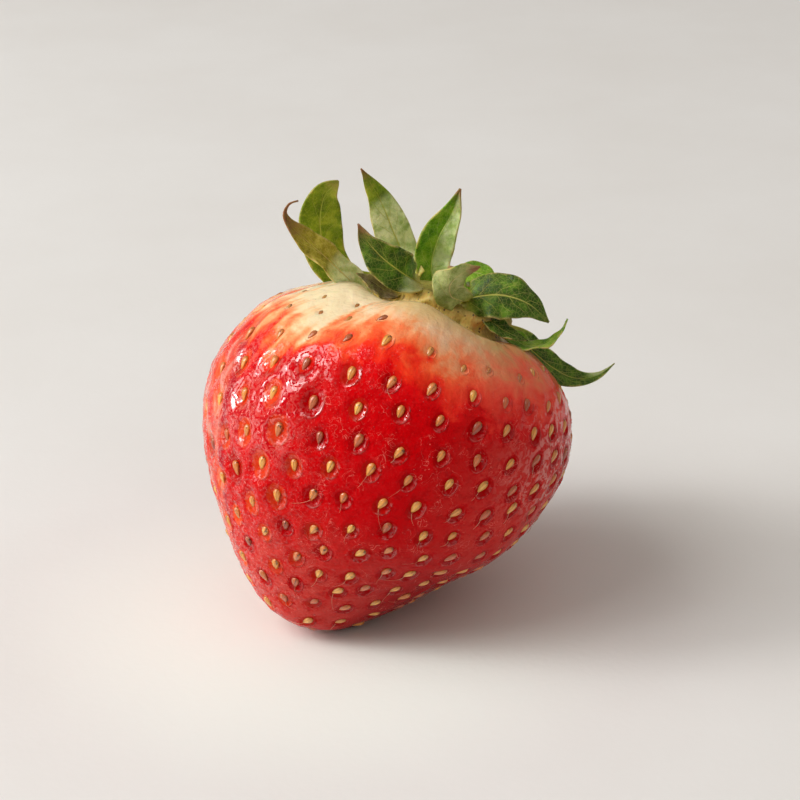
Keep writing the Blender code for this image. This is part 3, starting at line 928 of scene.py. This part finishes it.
def makeLeaf(name, leaf, materials, phase):
    shape = bmesh.new()
    bmesh.ops.create_grid(shape, x_segments=leaf["along"], y_segments=leaf["across"], size=1.0)
    uv = shape.loops.layers.uv.new("leaf")
    dry = shape.verts.layers.float.new("dry")
    faded = shape.verts.layers.float.new("faded")
    start, end, kept = leaf["faded"]
    for face in shape.faces:
        for loop in face.loops:
            loop[uv].uv = ((loop.vert.co.x + 1) / 2, (loop.vert.co.y + 1) / 2)
    shares = [step / leaf["along"] for step in range(leaf["along"] + 1)]
    rise, inward = leaf["root"]  # the blade starts inside the calyx, part of the way to a spot on the axis
    root = Vector(leaf["path"][0]).lerp(fruitPlace().to_3x3() @ Vector((0, 0, rise)), inward)
    places = curveThrough([root] + leaf["path"], shares)
    aheads = np.gradient(places, axis=0)
    middle = onAxis(leaf["middle"])
    for vertex in shape.verts:
        step = round((vertex.co.x + 1) / 2 * leaf["along"])
        spot = leafSpot(leaf, places[step], aheads[step], shares[step], vertex.co.y, phase)
        vertex[dry] = leaf["dry"]
        within = ramp(shares[step], start, start + 0.1) * (1 - ramp(shares[step], end - 0.1, end))
        vertex[faded] = within * (leaf["sideFade"] * ramp(kept * vertex.co.y, 0.0, 0.12) if kept else 1)
        vertex.co = middle + spot * mm
    sides = [materials[leaf["upper"]], materials[leaf["under"]]]
    piece = addPiece("leaf_" + name, shape, sides, "sepal_leaf", "sepal_" + name)
    wall = piece.modifiers.new("wall", "SOLIDIFY")
    wall.thickness = leaf["thickness"] * mm
    wall.offset = 0.0
    wall.material_offset = 1
    return piece


def makeLeaves():
    materials = {name: leafMaterial(name, **shades) for name, shades in leafTones.items()}
    for count, (name, own) in enumerate(leaves.items()):
        makeLeaf(name, {**leafCommon, **own}, materials, 1.7 * count)  # the waves differ from leaf to leaf


# studio: each light has its place in m, power in W, width and height in m, and colour. The eye is in mm
studio = dict(
    floor=1.5, aim=(0, 0, 0.015),
    lights={
        "softWindow": ((-0.72, -0.105, 0.5), 4.6, (0.55, 0.95), (0.985, 0.995, 1.0)),
        "brightPane": ((-0.7, -0.102, 0.486), 2.5, (0.2, 0.3), (0.985, 0.995, 1.0)),
        "skylight": ((-0.42, -0.32, 0.66), 1.4, (0.3, 0.3), (1.0, 0.99, 0.97)),
        "ceiling": ((0.05, -0.3, 0.9), 1.6, (1.3, 1.3), (1.0, 0.96, 0.92))},
    room=(1.0, 0.94, 0.87, 1.0), roomLight=0.31,
    eye=(3.65, -192.77, 111.9), tilt=65, lens=100, sensor=36)


def makeFloor():
    g = Graph("paperFloor", Roughness=0.75, Specular_IOR_Level=0.25)
    spot = g.objectPlace()
    paper = g.noise(spot, 0.02, 4.0, 0.6)
    color = g.ramp(paper, (0.3, (225, 222, 218)), (0.7, (230, 228, 225)))
    x, y = g.split(spot, "XY")
    # painted light: the floor is paler and greener near the fruit, to even out the pink light it throws and
    # to lighten its shadow
    near = (((x + 4) * (x + 4) + (y + 4) * (y + 4)) ** 0.5).between(34, 10)
    color = g.mix(near * 0.8, color, (240, 247, 239))  # evens out the pink light the fruit throws
    material = g.finish(Base_Color=color, Normal=g.bump(g.noise(spot, 1.2, 3.0), 0.02))
    shape = bmesh.new()
    bmesh.ops.create_grid(shape, x_segments=2, y_segments=2, size=studio["floor"])
    addMesh("floor", shape, material)


def addLight(name, place, power, sides, color):
    light = bpy.data.lights.new(name, "AREA")
    light.shape = "RECTANGLE"
    light.size, light.size_y = sides
    light.energy = power
    light.color = color
    lamp = addObject(name, light)
    lamp.location = place
    lamp.rotation_euler = (Vector(studio["aim"]) - Vector(place)).to_track_quat("-Z", "Y").to_euler()


def makeStudio():
    makeFloor()
    for name, values in studio["lights"].items():
        addLight(name, *values)

    world = bpy.data.worlds.new("room")
    bpy.context.scene.world = world
    world.use_nodes = True
    backdrop = world.node_tree.nodes["Background"]
    backdrop.inputs["Color"].default_value = studio["room"]
    backdrop.inputs["Strength"].default_value = studio["roomLight"]

    camera = bpy.data.cameras.new("camera")
    camera.lens = studio["lens"]
    camera.sensor_width = studio["sensor"]
    eye = addObject("camera", camera)
    eye.location = [part * mm for part in studio["eye"]]
    eye.rotation_euler = (math.radians(studio["tilt"]), 0, 0)
    bpy.context.scene.camera = eye
    bpy.context.scene.view_settings.view_transform = "Standard"


makeStudio()
print("studio made")
fleshTree = smoothTree("flesh", 2)
seeds = placeAchenes(fleshTree)
print("achenes:", len(seeds))
makeSkin(fleshTree, seeds)
print("skin made")
makeAchenes(seeds)
makeStyles(fleshTree, seeds)
print("achenes and styles made")
makeCalyx()
makeStem()
makeLeaves()
print("calyx, stem and leaves made")
